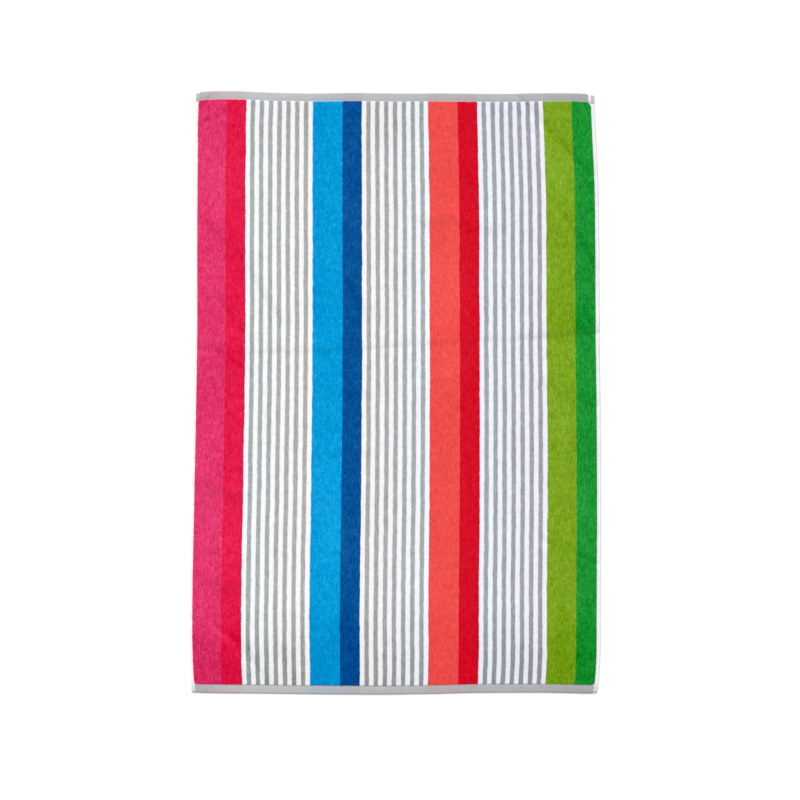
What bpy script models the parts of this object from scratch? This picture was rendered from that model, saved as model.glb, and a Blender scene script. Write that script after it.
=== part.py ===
"""A striped bath towel, spread out flat in one layer.

The towel is one terry cloth lying on its back, face up. Its stripes run along Y. A flat-woven hem crosses
each end and a narrow hem runs down each side, both thinner than the pile. The cloth was once packed folded,
so a soft crease crosses its middle and shallow ripples cross its bands. Units are metres and +Z is up.
"""

import math

import bmesh
import bpy

# Driving sizes of the cloth laid true.
TOWEL_WIDTH = 1.000
TOWEL_LENGTH = 1.490
PILE_THICKNESS = 0.0030
HEM_THICKNESS = 0.0020
END_HEM = 0.0205
LEFT_HEM = 0.0060
RIGHT_HEM = 0.0098
PILE_SHOULDER = 0.0035
EDGE_ROUNDING = 0.0004
CELL_SIZE = 0.025

# The rows are closer together where the main crease crosses the cloth.
CREASE_START = 0.815
CREASE_STOP = 0.930
CREASE_CELL_SIZE = 0.0085

# The woven bands from left to right. With the two side hems they make up the width.
BANDS = (
    # name, width, colour
    ("pink band", 0.0699, (0.760, 0.038, 0.149)),
    ("crimson band", 0.0491, (0.768, 0.011, 0.067)),
    ("left fine stripes", 0.1661, (0.730, 0.740, 0.735)),
    ("light blue band", 0.0742, (0.003, 0.327, 0.694)),
    ("dark blue band", 0.0481, (0.003, 0.082, 0.305)),
    ("middle fine stripes", 0.1670, (0.730, 0.740, 0.735)),
    ("coral band", 0.0739, (0.855, 0.080, 0.072)),
    ("red band", 0.0491, (0.665, 0.005, 0.020)),
    ("right fine stripes", 0.1656, (0.730, 0.735, 0.745)),
    ("lime band", 0.0713, (0.195, 0.361, 0.014)),
    ("green band", 0.0499, (0.011, 0.296, 0.031)),
)
WHITE_HEM_COLOUR = (0.850, 0.830, 0.870)
GREY_HEM_COLOUR = (0.500, 0.490, 0.510)
CLOTH_ROUGHNESS = 0.9

# How the side edges lie: places at a share of the length, counted from the bottom end.
SIDES = (
    # share, left, right
    (0.00, -0.5058, 0.5006),
    (0.02, -0.5068, 0.5043),
    (0.06, -0.5093, 0.5080),
    (0.12, -0.5103, 0.5084),
    (0.20, -0.5091, 0.5089),
    (0.30, -0.5060, 0.5096),
    (0.41, -0.5028, 0.5090),
    (0.50, -0.5003, 0.5078),
    (0.60, -0.4980, 0.5058),
    (0.74, -0.4979, 0.5050),
    (0.84, -0.4974, 0.5035),
    (0.90, -0.4966, 0.4994),
    (0.95, -0.4964, 0.4959),
    (1.00, -0.4939, 0.4931),
)

# How the end edges lie: places at a share of the width, counted from the left side.
ENDS = (
    # share, bottom, top
    (0.000, -0.7408, 0.7410),
    (0.007, -0.7412, 0.7415),
    (0.010, -0.7430, 0.7440),
    (0.020, -0.7438, 0.7455),
    (0.060, -0.7446, 0.7474),
    (0.120, -0.7451, 0.7464),
    (0.200, -0.7458, 0.7432),
    (0.300, -0.7472, 0.7414),
    (0.380, -0.7478, 0.7428),
    (0.460, -0.7482, 0.7420),
    (0.520, -0.7476, 0.7412),
    (0.600, -0.7464, 0.7418),
    (0.680, -0.7442, 0.7410),
    (0.770, -0.7435, 0.7403),
    (0.880, -0.7436, 0.7418),
    (0.950, -0.7451, 0.7417),
    (0.980, -0.7456, 0.7402),
    (0.987, -0.7440, 0.7385),
    (1.000, -0.7410, 0.7360),
)

# Near the top end the bands drift to the right, most of all a third of the way across.
DRIFT = 0.0024
DRIFT_START = 1.280
DRIFT_REACH = 0.160
DRIFT_POWER = 0.6

# The main crease across the middle: a line that stays down between two shoulders, steepest at the line.
MAIN_CREASE = (
    # x, y, reach, height of the upper shoulder, height of the lower one
    (-0.515, 0.107, 0.022, 0.0012, 0.0010),
    (-0.460, 0.103, 0.022, 0.0013, 0.0010),
    (-0.398, 0.095, 0.022, 0.0021, 0.0003),
    (-0.300, 0.097, 0.022, 0.0016, 0.0005),
    (-0.169, 0.099, 0.021, 0.0018, 0.0006),
    (-0.108, 0.103, 0.021, 0.0021, 0.0005),
    (-0.040, 0.109, 0.021, 0.0013, 0.0005),
    (0.120, 0.119, 0.020, 0.0010, 0.0006),
    (0.182, 0.124, 0.020, 0.0009, 0.0007),
    (0.300, 0.128, 0.020, 0.0015, 0.0005),
    (0.408, 0.136, 0.026, 0.0026, 0.0008),
    (0.471, 0.144, 0.030, 0.0042, 0.0012),
    (0.515, 0.148, 0.032, 0.0042, 0.0012),
)

# Shorter creases, made in the same way.
CREASES = (
    # from x, from y, to x, to y, reach, height of the shoulder on its left, height of the one on its right
    (-0.470, 0.415, -0.385, 0.335, 0.018, 0.0020, 0.0008),
    (-0.385, 0.335, -0.305, 0.200, 0.018, 0.0024, 0.0008),
    (-0.440, 0.236, -0.370, 0.136, 0.018, 0.0022, 0.0008),
    (-0.440, 0.102, -0.374, 0.058, 0.018, 0.0016, 0.0010),
    (-0.125, 0.275, -0.085, 0.208, 0.016, 0.0022, 0.0018),
    (0.310, 0.725, 0.460, 0.560, 0.022, 0.0028, 0.0024),
    (0.423, 0.428, 0.490, 0.316, 0.018, 0.0022, 0.0022),
    (-0.510, -0.560, -0.370, -0.660, 0.020, 0.0018, 0.0028),
    (0.375, -0.375, 0.500, -0.425, 0.018, 0.0012, 0.0016),
    (-0.492, 0.692, -0.462, 0.726, 0.014, 0.0020, 0.0014),
    (-0.484, 0.662, -0.425, 0.694, 0.014, 0.0020, 0.0016),
)

# Ripples: soft rounded ridges.
RIPPLES = (
    # from x, from y, to x, to y, half width, height
    (0.082, 0.440, 0.235, 0.420, 0.022, 0.0024),
    (-0.210, -0.240, -0.085, -0.250, 0.050, 0.0020),
    (-0.150, -0.140, -0.085, -0.140, 0.018, 0.0016),
    (-0.125, 0.012, -0.085, 0.012, 0.022, 0.0020),
    (0.120, 0.020, 0.100, -0.160, 0.034, 0.0020),
    (-0.505, -0.205, -0.405, -0.245, 0.026, 0.0028),
    (-0.500, -0.440, -0.400, -0.480, 0.022, 0.0022),
    (0.375, 0.040, 0.485, 0.000, 0.026, 0.0026),
    (0.440, -0.080, 0.505, -0.130, 0.024, 0.0020),
    (0.440, -0.260, 0.505, -0.330, 0.024, 0.0020),
    (-0.185, 0.720, -0.195, 0.640, 0.014, 0.0020),
    (0.250, 0.720, 0.290, 0.640, 0.016, 0.0020),
)
FADE_PAST_END = 0.030
BLEND_POWER = 3
LEAST_LIFT = 0.0003


def slope_at(rows, number, side):
    """How steeply an edge table runs at one of its rows."""
    before = rows[max(number - 1, 0)]
    after = rows[min(number + 1, len(rows) - 1)]
    return (after[side] - before[side]) / (after[0] - before[0])


def edge_places(rows, share):
    """The two places of an edge table at this share, on a smooth line through its rows."""
    number = 1
    while number < len(rows) - 1 and rows[number][0] < share:
        number += 1
    low = rows[number - 1]
    high = rows[number]
    step = high[0] - low[0]
    part = (share - low[0]) / step
    places = []
    for side in (1, 2):
        start_slope = slope_at(rows, number - 1, side) * step
        end_slope = slope_at(rows, number, side) * step
        rise = high[side] - low[side]
        bend = part * (1 - part) * ((1 - part) * (start_slope - rise) + part * (rise - end_slope))
        places.append(low[side] + rise * part + bend)
    return places


def laid(across, along):
    """Where a point of the cloth lies, seen from above, from its places in metres across and along it."""
    left, right = edge_places(SIDES, along / TOWEL_LENGTH)
    bottom, top = edge_places(ENDS, across / TOWEL_WIDTH)
    drift = DRIFT * min(max((along - DRIFT_START) / DRIFT_REACH, 0.0), 1.0)
    share = across / TOWEL_WIDTH
    x = left + (right - left) * share + drift * math.sin(math.pi * share**DRIFT_POWER)
    y = bottom + (top - bottom) * along / TOWEL_LENGTH
    return x, y


def beside_line(x, y, row):
    """How far a point is left of a fold's line, and the fold's strength there, fading past its ends."""
    from_x, from_y, to_x, to_y = row[:4]
    run_x = to_x - from_x
    run_y = to_y - from_y
    length = math.hypot(run_x, run_y)
    along = ((x - from_x) * run_x + (y - from_y) * run_y) / length
    beside = ((y - from_y) * run_x - (x - from_x) * run_y) / length
    past = max(-along, along - length, 0.0)
    return beside, math.exp(-((past / FADE_PAST_END) ** 2))


def shoulder(beside, reach, left_height, right_height):
    """The height at this distance to the left of a crease's line, or to its right below 0."""
    share = abs(beside) / reach
    height = left_height if beside > 0 else right_height
    return height * share * math.exp(1.0 - share)


def main_crease(x, y):
    """The height of the main crease's shoulders at this place."""
    number = 1
    while number < len(MAIN_CREASE) - 1 and MAIN_CREASE[number][0] < x:
        number += 1
    low = MAIN_CREASE[number - 1]
    high = MAIN_CREASE[number]
    part = (x - low[0]) / (high[0] - low[0])
    line, reach, upper, lower = (a + (b - a) * part for a, b in zip(low[1:], high[1:]))
    return shoulder(y - line, reach, upper, lower)


def lift(x, y):
    """How far the cloth is lifted off what it lies on. It lies quite flat away from its folds."""
    heights = [main_crease(x, y)]
    for row in CREASES:
        beside, strength = beside_line(x, y, row)
        heights.append(strength * shoulder(beside, *row[4:]))
    for row in RIPPLES:
        beside, strength = beside_line(x, y, row)
        heights.append(row[5] * strength * math.exp(-((beside / row[4]) ** 2)))
    blended = sum(height**BLEND_POWER for height in heights) ** (1 / BLEND_POWER)
    return max(blended - LEAST_LIFT, 0.0)


def split_evenly(start, stop, cell_size=CELL_SIZE):
    """Places after start, up to and with stop, in even steps no longer than a cell."""
    steps = math.ceil((stop - start) / cell_size - 1e-6)
    return [start + (stop - start) * step / steps for step in range(1, steps + 1)]


def columns():
    """Places of the cloth's columns across its width, and the material number of each column."""
    places = [0.0, LEFT_HEM]
    numbers = [len(BANDS)]
    edge = LEFT_HEM
    for number, (_, width, _) in enumerate(BANDS):
        first = number == 0
        last = number == len(BANDS) - 1
        start = edge + PILE_SHOULDER if first else edge
        edge += width
        stop = edge - PILE_SHOULDER if last else edge
        band = [start] if first else []
        band += split_evenly(start, stop)
        band += [edge] if last else []
        places += band
        numbers += [number] * len(band)
    places.append(TOWEL_WIDTH)
    numbers.append(len(BANDS))
    return places, numbers


def rows():
    """Places of the cloth's rows along its length."""
    pile_end = TOWEL_LENGTH - END_HEM
    places = [0.0, END_HEM, END_HEM + PILE_SHOULDER]
    places += split_evenly(END_HEM + PILE_SHOULDER, CREASE_START)
    places += split_evenly(CREASE_START, CREASE_STOP, CREASE_CELL_SIZE)
    places += split_evenly(CREASE_STOP, pile_end - PILE_SHOULDER)
    return places + [pile_end, TOWEL_LENGTH]


def cloth_material(name, colour):
    """A matt woven finish."""
    material = bpy.data.materials.new(name)
    material.use_nodes = True
    shader = material.node_tree.nodes["Principled BSDF"]
    shader.inputs["Base Color"].default_value = (*colour, 1.0)
    shader.inputs["Roughness"].default_value = CLOTH_ROUGHNESS
    shader.inputs["Metallic"].default_value = 0.0
    material.diffuse_color = (*colour, 1.0)
    return material


def lay_out(mesh, places_across, numbers, places_along):
    """Fills the mesh with the underside of the laid cloth, centred on the origin."""
    cells_across = len(places_across) - 1
    cells_along = len(places_along) - 1
    cloth = bmesh.new()
    bmesh.ops.create_grid(cloth, x_segments=cells_across, y_segments=cells_along, size=0.5)
    in_pile = []
    for vert in cloth.verts:
        column = round((vert.co.x + 0.5) * cells_across)
        row = round((vert.co.y + 0.5) * cells_along)
        x, y = laid(places_across[column], places_along[row])
        vert.co = (x, y, lift(x, y))
        if 2 <= column <= cells_across - 2 and 2 <= row <= cells_along - 2:
            in_pile.append(vert.index)
    for face in cloth.faces:
        column = face.index % cells_across
        row = face.index // cells_across
        at_end = row in (0, cells_along - 1)
        face.material_index = len(BANDS) + 1 if at_end else numbers[column]
        face.smooth = True
    middle_x = (min(v.co.x for v in cloth.verts) + max(v.co.x for v in cloth.verts)) / 2
    middle_y = (min(v.co.y for v in cloth.verts) + max(v.co.y for v in cloth.verts)) / 2
    bmesh.ops.translate(cloth, verts=cloth.verts, vec=(-middle_x, -middle_y, 0.0))
    cloth.to_mesh(mesh)
    cloth.free()
    return in_pile


def make_towel(collection):
    """The whole cloth: its underside as laid, thickened upwards, more in the pile than in the hems."""
    places_across, numbers = columns()
    places_along = rows()
    mesh = bpy.data.meshes.new("towel")
    towel = bpy.data.objects.new("towel", mesh)
    collection.objects.link(towel)
    for name, _, colour in BANDS:
        mesh.materials.append(cloth_material(name, colour))
    mesh.materials.append(cloth_material("white side hem", WHITE_HEM_COLOUR))
    mesh.materials.append(cloth_material("grey end hem", GREY_HEM_COLOUR))
    in_pile = lay_out(mesh, places_across, numbers, places_along)
    pile = towel.vertex_groups.new(name="pile")
    pile.add(in_pile, 1.0, "REPLACE")
    thickness = towel.modifiers.new("thickness", "SOLIDIFY")
    thickness.thickness = PILE_THICKNESS
    thickness.offset = 1.0
    thickness.vertex_group = pile.name
    thickness.thickness_vertex_group = HEM_THICKNESS / PILE_THICKNESS
    rounding = towel.modifiers.new("edge rounding", "BEVEL")
    rounding.width = EDGE_ROUNDING
    rounding.segments = 1
    rounding.limit_method = "ANGLE"
    rounding.angle_limit = math.radians(60.0)


def main():
    for old in list(bpy.data.objects):
        bpy.data.objects.remove(old, do_unlink=True)
    collection = bpy.data.collections.new("bath towel")
    bpy.context.scene.collection.children.link(collection)
    make_towel(collection)


main()
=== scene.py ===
"""The looks of a striped bath towel, spread out flat in one layer, seen from straight above.

Its velour face is woven in bright bands between groups of fine grey and white stripes. A grey flat-woven hem
crosses each end, and a narrow white hem is turned over along each side. Units are metres.
Every piece of the towel has a UV map named "cloth": where each of its points is on the cloth laid true.
"""

import math
import random

import bmesh
import bpy
from mathutils import Matrix, Vector, noise


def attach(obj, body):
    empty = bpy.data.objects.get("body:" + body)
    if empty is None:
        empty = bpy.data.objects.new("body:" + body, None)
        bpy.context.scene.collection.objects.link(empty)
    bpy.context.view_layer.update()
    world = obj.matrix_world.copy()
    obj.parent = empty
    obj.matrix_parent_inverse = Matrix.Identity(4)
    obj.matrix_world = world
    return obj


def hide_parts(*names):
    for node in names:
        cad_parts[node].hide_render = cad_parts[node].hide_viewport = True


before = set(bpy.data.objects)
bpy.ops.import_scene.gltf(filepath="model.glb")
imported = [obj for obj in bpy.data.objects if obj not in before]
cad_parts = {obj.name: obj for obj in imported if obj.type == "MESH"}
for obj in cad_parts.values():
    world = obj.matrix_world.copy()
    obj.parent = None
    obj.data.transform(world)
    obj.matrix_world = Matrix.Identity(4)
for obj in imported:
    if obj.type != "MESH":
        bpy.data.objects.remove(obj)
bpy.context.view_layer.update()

# Sizes of the cloth laid true, as it is cut and sewn.
TOWEL_WIDTH = 1.000
TOWEL_LENGTH = 1.490
PILE_THICKNESS = 0.0030
HEM_THICKNESS = 0.0020
END_HEM = 0.0205
LEFT_HEM = 0.0060
RIGHT_HEM = 0.0098
LEFT_HEM_FOLD = 0.0095
RIGHT_HEM_FOLD = 0.0170
CORNER_BULK = 1.65

# The woven bands from left to right: width on the 1 m cloth, colour on screen from 0 to 255, and how lively
# the nap looks in it.
BANDS = (
    # name, width, colour at its left, colour at its right, liveliness
    ("pink", 0.0699, (226, 56, 108), (226, 54, 107), 1.05),
    ("crimson", 0.0491, (228, 28, 74), (228, 28, 73), 0.85),
    ("left fine", 0.1661, None, None, 0.90),
    ("light blue", 0.0742, (6, 154, 217), (6, 154, 217), 1.05),
    ("dark blue", 0.0481, (6, 82, 150), (6, 82, 150), 0.90),
    ("middle fine", 0.1670, None, None, 0.90),
    ("coral", 0.0739, (238, 80, 77), (238, 80, 77), 0.65),
    ("red", 0.0491, (213, 17, 39), (213, 17, 39), 0.58),
    ("right fine", 0.1656, None, None, 0.90),
    ("lime", 0.0713, (126, 165, 34), (120, 161, 30), 1.10),
    ("green", 0.0499, (27, 145, 49), (28, 146, 50), 1.15),
)

# The groups of fine stripes: eight white ones with seven grey ones between them.
FINE_STRIPES = {
    # name: grey at its left, grey at its right, white at its left, white at its right
    "left fine": ((166, 177, 175), (180, 174, 168), (249, 250, 254), (248, 249, 252)),
    "middle fine": ((175, 170, 164), (162, 174, 176), (246, 246, 250), (245, 247, 252)),
    "right fine": ((158, 170, 177), (162, 159, 168), (242, 243, 252), (241, 240, 250)),
}
WHITES_IN_GROUP = 8
GREY_STRIPE = 0.0108

# Where the count of fine stripes starts, in pitches, and how much calmer the nap looks in the white ones.
COUNT_START = 0.25
WHITE_CALMER = 0.6

# How softly one colour turns into the next: at fine stripes, at bands, and at the bands of the underside
# and of the end hems.
STRIPE_BLUR = 0.0020
BAND_BLUR = 0.0009
BACK_BLUR = 0.0012
HEM_BAND_BLUR = 0.0020

# Painted shade on the fine stripes near both ends, the white ones less so. Places along the cloth with their
# blur.
FINE_STRIPE_SHADE = 0.16
WHITE_SPARED = 0.7
DARKER_BOTTOM = (0.118, 0.200)
DARKER_TOP = (1.385, 0.170)
DARKER_TOP_SHARE = 0.7

# How the bands' edges wander from side to side.
BAND_WANDER = (
    # fleck width, fleck length, seed, how far
    (0.060, 0.110, 13.0, 0.0030),
    (0.016, 0.022, 11.0, 0.0030),
    (0.0022, 0.0040, 12.0, 0.0018),
)

# How mottled the cut pile looks: streaks, runs, clouds and specks.
MOTTLE = (
    # fleck width, fleck length, seed, steps lighter on a scale to 255
    (0.0024, 0.0080, 21.0, 66.0),
    (0.0042, 0.0260, 24.0, 42.0),
    (0.0120, 0.0170, 25.0, 34.0),
    (0.0011, 0.0016, 23.0, 20.0),
)
BROAD_PATCHES = (0.040, 0.110, 22.0)
BROAD_STEPS = 16.0

# The pile's relief, from its tips and its furrows: width, length and seed, then height.
TIPS = (0.0009, 0.0013, 31.0)
TIP_RELIEF = 0.0004
FURROWS = (0.0030, 0.0110, 32.0)
FURROW_RELIEF = 0.0004

# The underside: how bright it is, and its loops, with how strongly they show and how high they are.
BACK_TONE = 0.92
LOOPS = (0.0016, 0.0016, 41.0)
LOOPS_SHOW = 0.5
LOOP_RELIEF = 0.0016

# The hems' colours on screen.
END_HEM_LEFT = (198, 199, 202)
END_HEM_RIGHT = (177, 177, 181)
END_HEM_TINT = 0.075
FINE_GROUP_TINT = (200, 215, 215)
SIDE_HEM_LEFT = (255, 255, 254)
SIDE_HEM_RIGHT = (250, 245, 254)
CORNER_TOP_LEFT = (200, 192, 200)
CORNER_TOP_RIGHT = (204, 194, 208)
CORNER_BOTTOM = (228, 224, 236)
# The painted shade along the right side hem's outer fold.
SIDE_HEM_EDGE_SHADE = (216, 214, 216)

# The flecks and broader patches in their weave: width, length and seed, then how strongly they show.
END_FLECKS = (0.0030, 0.0012, 51.0)
END_FLECKS_SHOW = 0.40
END_PATCHES = (0.030, 0.010, 52.0)
END_PATCHES_SHOW = 0.16
SIDE_FLECKS = (0.0012, 0.0030, 61.0)
SIDE_FLECKS_SHOW = 0.12
SIDE_PATCHES = (0.010, 0.040, 62.0)
SIDE_PATCHES_SHOW = 0.06

# Where the hems' colours change, in metres from an edge, and how softly.
HEM_BLUR = 0.0010
CORNER_INSET = 0.0010
CORNER_BLUR = 0.0020
CORNER_FOLD = 0.0095
CORNER_GREY = 0.0105
# How wide the painted shade along the right side hem's outer fold is, and how strongly it shows.
SIDE_RIM_SHADE_WIDTH = 0.0022
SIDE_RIM_SHADE_SHARE = 0.8
END_RIM = 0.0012
END_RIM_BLUR = 0.0012
HALVES_BLUR = 0.010
LEFT_PART = (0.060, 0.060)

# Painted shade on the end hems: how much darker they are at their rims, though less at the bottom one's, all
# over the bottom one, and at their left part.
END_RIM_SHADE = 0.14
BOTTOM_RIM_SPARED = 0.10
BOTTOM_HEM_SHADE = 0.06
LEFT_PART_SHADE = 0.14

# The relief of a flat weave: ribs, the rows across them and uneven yarn.
RIB_PITCH = 0.0011
ROW_PITCH = 0.0008
RIB_RELIEF = 0.00005
ROW_RELIEF = 0.00004
YARN_RELIEF = 0.0002

# The sewing thread: its colour on screen, and how closely, strongly and high its fuzz shows.
THREAD = (206, 204, 208)
FUZZ_SCALE = 1500.0
FUZZ_SHOW = 0.3
FUZZ_RELIEF = 0.0001

# How round the pile's corners are.
PILE_CORNERS = (
    # at the right, at the top, radius
    (False, False, 0.0080),
    (True, False, 0.0040),
    (False, True, 0.0030),
    (True, True, 0.0120),
)

# How the side edges lie: places at a share of the length, counted from the bottom end.
SIDES = (
    # share, left, right
    (0.00, -0.5058, 0.5006),
    (0.02, -0.5068, 0.5043),
    (0.06, -0.5093, 0.5080),
    (0.12, -0.5103, 0.5084),
    (0.20, -0.5091, 0.5089),
    (0.30, -0.5060, 0.5096),
    (0.41, -0.5028, 0.5090),
    (0.50, -0.5003, 0.5078),
    (0.60, -0.4980, 0.5058),
    (0.74, -0.4979, 0.5050),
    (0.84, -0.4974, 0.5035),
    (0.90, -0.4966, 0.4994),
    (0.95, -0.4964, 0.4959),
    (1.00, -0.4939, 0.4931),
)

# How the end edges lie: places at a share of the width, counted from the left side.
ENDS = (
    # share, bottom, top
    (0.000, -0.7408, 0.7410),
    (0.007, -0.7412, 0.7415),
    (0.010, -0.7430, 0.7440),
    (0.020, -0.7438, 0.7455),
    (0.060, -0.7446, 0.7474),
    (0.120, -0.7451, 0.7464),
    (0.200, -0.7458, 0.7432),
    (0.300, -0.7472, 0.7414),
    (0.380, -0.7478, 0.7428),
    (0.460, -0.7482, 0.7420),
    (0.520, -0.7476, 0.7412),
    (0.600, -0.7464, 0.7418),
    (0.680, -0.7442, 0.7410),
    (0.770, -0.7435, 0.7403),
    (0.880, -0.7436, 0.7418),
    (0.950, -0.7451, 0.7417),
    (0.980, -0.7456, 0.7402),
    (0.987, -0.7440, 0.7385),
    (1.000, -0.7410, 0.7360),
)

# Near the top end the bands drift to the right, most of all a third of the way across.
DRIFT = 0.0024
DRIFT_START = 1.280
DRIFT_REACH = 0.160
DRIFT_POWER = 0.6

# The main crease across the middle: a line that stays down between two shoulders, steepest at the line.
MAIN_CREASE = (
    # x, y, reach, height of the upper shoulder, height of the lower one
    (-0.515, 0.107, 0.022, 0.0012, 0.0010),
    (-0.460, 0.103, 0.022, 0.0013, 0.0010),
    (-0.398, 0.095, 0.022, 0.0021, 0.0003),
    (-0.300, 0.097, 0.022, 0.0016, 0.0005),
    (-0.169, 0.099, 0.021, 0.0018, 0.0006),
    (-0.108, 0.103, 0.021, 0.0021, 0.0005),
    (-0.040, 0.109, 0.021, 0.0013, 0.0005),
    (0.120, 0.119, 0.020, 0.0010, 0.0006),
    (0.182, 0.124, 0.020, 0.0009, 0.0007),
    (0.300, 0.128, 0.020, 0.0015, 0.0005),
    (0.408, 0.136, 0.026, 0.0026, 0.0008),
    (0.471, 0.144, 0.030, 0.0042, 0.0012),
    (0.515, 0.148, 0.032, 0.0042, 0.0012),
)

# Shorter creases, made in the same way.
CREASES = (
    # from x, from y, to x, to y, reach, height of the shoulder on its left, height of the one on its right
    (-0.470, 0.415, -0.385, 0.335, 0.018, 0.0020, 0.0008),
    (-0.385, 0.335, -0.305, 0.200, 0.018, 0.0024, 0.0008),
    (-0.440, 0.236, -0.370, 0.136, 0.018, 0.0022, 0.0008),
    (-0.440, 0.102, -0.374, 0.058, 0.018, 0.0016, 0.0010),
    (-0.125, 0.275, -0.085, 0.208, 0.016, 0.0022, 0.0018),
    (0.310, 0.725, 0.460, 0.560, 0.022, 0.0028, 0.0024),
    (0.423, 0.428, 0.490, 0.316, 0.018, 0.0022, 0.0022),
    (-0.510, -0.560, -0.370, -0.660, 0.020, 0.0018, 0.0028),
    (0.375, -0.375, 0.500, -0.425, 0.018, 0.0012, 0.0016),
    (-0.492, 0.692, -0.462, 0.726, 0.014, 0.0020, 0.0014),
    (-0.484, 0.662, -0.425, 0.694, 0.014, 0.0020, 0.0016),
)

# Ripples: soft rounded ridges.
RIPPLES = (
    # from x, from y, to x, to y, half width, height
    (0.082, 0.440, 0.235, 0.420, 0.022, 0.0024),
    (-0.210, -0.240, -0.085, -0.250, 0.050, 0.0020),
    (-0.150, -0.140, -0.085, -0.140, 0.018, 0.0016),
    (-0.125, 0.012, -0.085, 0.012, 0.022, 0.0020),
    (0.120, 0.020, 0.100, -0.160, 0.034, 0.0020),
    (-0.505, -0.205, -0.405, -0.245, 0.026, 0.0028),
    (-0.500, -0.440, -0.400, -0.480, 0.022, 0.0022),
    (0.375, 0.040, 0.485, 0.000, 0.026, 0.0026),
    (0.440, -0.080, 0.505, -0.130, 0.024, 0.0020),
    (0.440, -0.260, 0.505, -0.330, 0.024, 0.0020),
    (-0.185, 0.720, -0.195, 0.640, 0.014, 0.0020),
    (0.250, 0.720, 0.290, 0.640, 0.016, 0.0020),
)
FADE_PAST_END = 0.030
BLEND_POWER = 3
LEAST_LIFT = 0.0003

# Patches where the nap is brushed one way, which makes them lighter, or the other, which makes them darker,
# and patches of painted shade, such as the one on the pile's rounded top right corner.
NAP_AND_SHADE_PATCHES = (
    # middle x, middle y, half width, half length, steps lighter on a scale to 255
    (-0.435, 0.540, 0.070, 0.110, 4.0),
    (-0.490, 0.397, 0.022, 0.030, 6.0),
    (-0.470, 0.715, 0.040, 0.016, -6.0),
    (-0.425, 0.080, 0.055, 0.022, -3.0),
    (-0.445, 0.010, 0.050, 0.060, -2.5),
    (-0.425, -0.345, 0.060, 0.075, 6.0),
    (-0.170, -0.310, 0.056, 0.150, 6.0),
    (-0.120, -0.370, 0.040, 0.060, 2.0),
    (-0.115, 0.450, 0.026, 0.040, 6.0),
    (-0.105, 0.316, 0.026, 0.036, 4.5),
    (-0.120, -0.010, 0.030, 0.045, -1.5),
    (-0.190, 0.200, 0.040, 0.050, -3.0),
    (0.135, 0.255, 0.070, 0.110, 8.5),
    (0.311, 0.304, 0.080, 0.050, 4.0),
    (0.130, 0.075, 0.065, 0.035, 5.0),
    (0.120, -0.070, 0.034, 0.090, -4.0),
    (0.150, 0.480, 0.060, 0.020, 4.0),
    (0.425, 0.190, 0.070, 0.045, -5.0),
    # Painted shade on the pile's rounded edge at its top right corner.
    (0.484, 0.715, 0.014, 0.022, -9.0),
    (0.460, 0.172, 0.034, 0.018, -4.0),
    (0.430, 0.090, 0.060, 0.045, 4.0),
    (0.415, 0.560, 0.060, 0.075, 4.0),
    (0.420, -0.087, 0.022, 0.040, 6.0),
    (0.460, -0.280, 0.022, 0.050, 6.0),
    (-0.020, 0.660, 0.060, 0.070, -4.0),
    (-0.200, 0.680, 0.050, 0.050, -4.0),
    (-0.430, -0.665, 0.110, 0.075, -1.5),
    (0.065, -0.640, 0.120, 0.060, 3.0),
)
PATCH_POWER = 1.5

# Lines of painted light and shade, where the cloth has faint creases.
PAINTED_CREASE_LINES = (
    # from x, from y, to x, to y, half width, steps lighter on a scale to 255
    (-0.365, -0.634, -0.315, -0.720, 0.009, -23.0),
    (-0.278, -0.643, -0.251, -0.720, 0.009, -16.0),
    (-0.424, -0.590, -0.382, -0.620, 0.008, -11.0),
    (-0.480, -0.575, -0.430, -0.604, 0.009, 9.0),
    (-0.430, -0.604, -0.385, -0.643, 0.009, 11.0),
    (0.285, 0.700, 0.345, 0.620, 0.010, 6.0),
    (0.345, 0.620, 0.440, 0.490, 0.012, 5.0),
    (0.006, -0.330, 0.018, -0.430, 0.007, 6.0),
)

# Painted light on the pile beside its sides and bottom end, and painted shade beside the creases' lines.
PAINTED_EDGE_LIGHT = 9.0
EDGE_REACH = 0.0040
CREASE_SHADE_DARKER = 6.0
MAIN_CREASE_SHADE_SHARE = 0.40
CREASE_SHADE_OFFSET = 0.0040
CREASE_SHADE_REACH = 0.0065

# Painted shade near the bottom end: how much darker, where along the cloth, and how uneven.
BOTTOM_SHADE_DARKER = 10.0
BOTTOM_SHADE_PLACE = (0.160, 0.130)
BOTTOM_SHADE_UNEVEN = 0.16

# The mesh of the cloth: its cells, and the closer lines along its rounded rim.
CLOTH_CELL = 0.0060
CREASE_CELL = 0.0032
CREASE_START = 0.820
CREASE_STOP = 0.920
RIM_PLACES = (0.0, 0.0004, 0.0011, 0.0022, 0.0040)
RIM_RADIUS = 0.0024
RIM_FOOT = 0.3
RAGGED_REACH = 0.006

# How uneven the pile's top and its edge are.
PILE_TOP = (
    # width, length, seed, height
    (0.045, 0.060, 3.0, 0.00020),
    (0.014, 0.017, 9.0, 0.00014),
)
PILE_EDGE = (
    # width, length, seed, reach
    (0.020, 0.020, 5.0, 0.0007),
    (0.006, 0.006, 6.0, 0.0005),
)

# Tufts along the pile's edge: length, width and height, and the rows they stand in.
TUFT_SIZE = (0.0022, 0.0019, 0.0017)
TUFT_PITCH = 0.0023
TUFT_ROWS = (
    # how far in from the edge, height of its middle
    (0.0004, 0.0014),
    (0.0017, 0.0022),
)

# How unlike each other the tufts are: in place, size, height and turn.
TUFT_STRAY = 0.0005
TUFT_SIZES = (0.8, 1.2)
TUFT_STAND = 0.0002
TUFT_TURN = 0.5
TUFT_FACETS = (6, 4)
TUFT_DRAW = 4

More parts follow.
